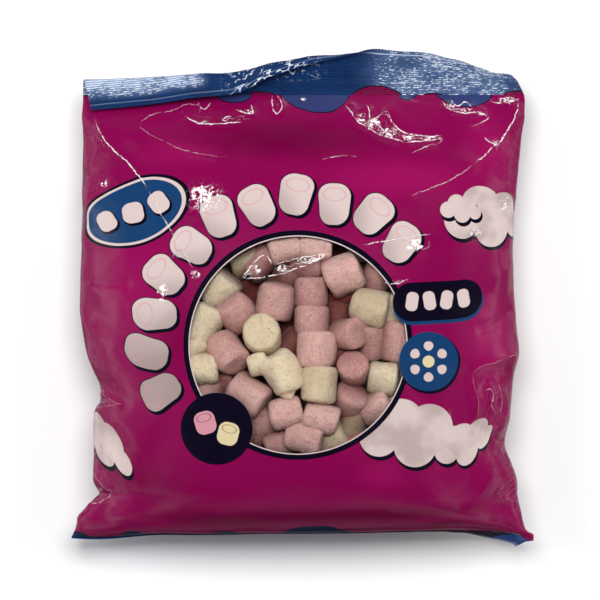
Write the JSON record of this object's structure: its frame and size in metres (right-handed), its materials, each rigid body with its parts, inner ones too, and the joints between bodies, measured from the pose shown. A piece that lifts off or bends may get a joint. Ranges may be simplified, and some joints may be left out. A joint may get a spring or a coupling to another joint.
{
  "type": "bag of mini marshmallows",
  "caption": "Printed film pillow bag with a round clear window onto small pink and white marshmallows, crimped seals at both ends, lying on its back.",
  "frame": {"origin": "middle of the bag's box, on the surface that it lies on", "axes": "+X across the bag to its right, +Y up the bag to its top seal, +Z out of its front, through the window"},
  "size_m": [0.184, 0.2046, 0.0524],
  "materials": {
    "printed_film": "magenta printed glossy plastic film with soft creases",
    "seal_film": "blue printed plastic film, crimped in fine ribs that glitter",
    "clear_film": "clear glossy plastic film",
    "marshmallow": "soft pink and white foamed sugar, dusted matte"
  },
  "bodies": {
    "root": {"pouch": "printed_film", "window_film": "clear_film", "marshmallows": "marshmallow", "top_seal": "seal_film", "bottom_seal": "seal_film", "back_seam": "printed_film"}
  },
  "joints": []
}
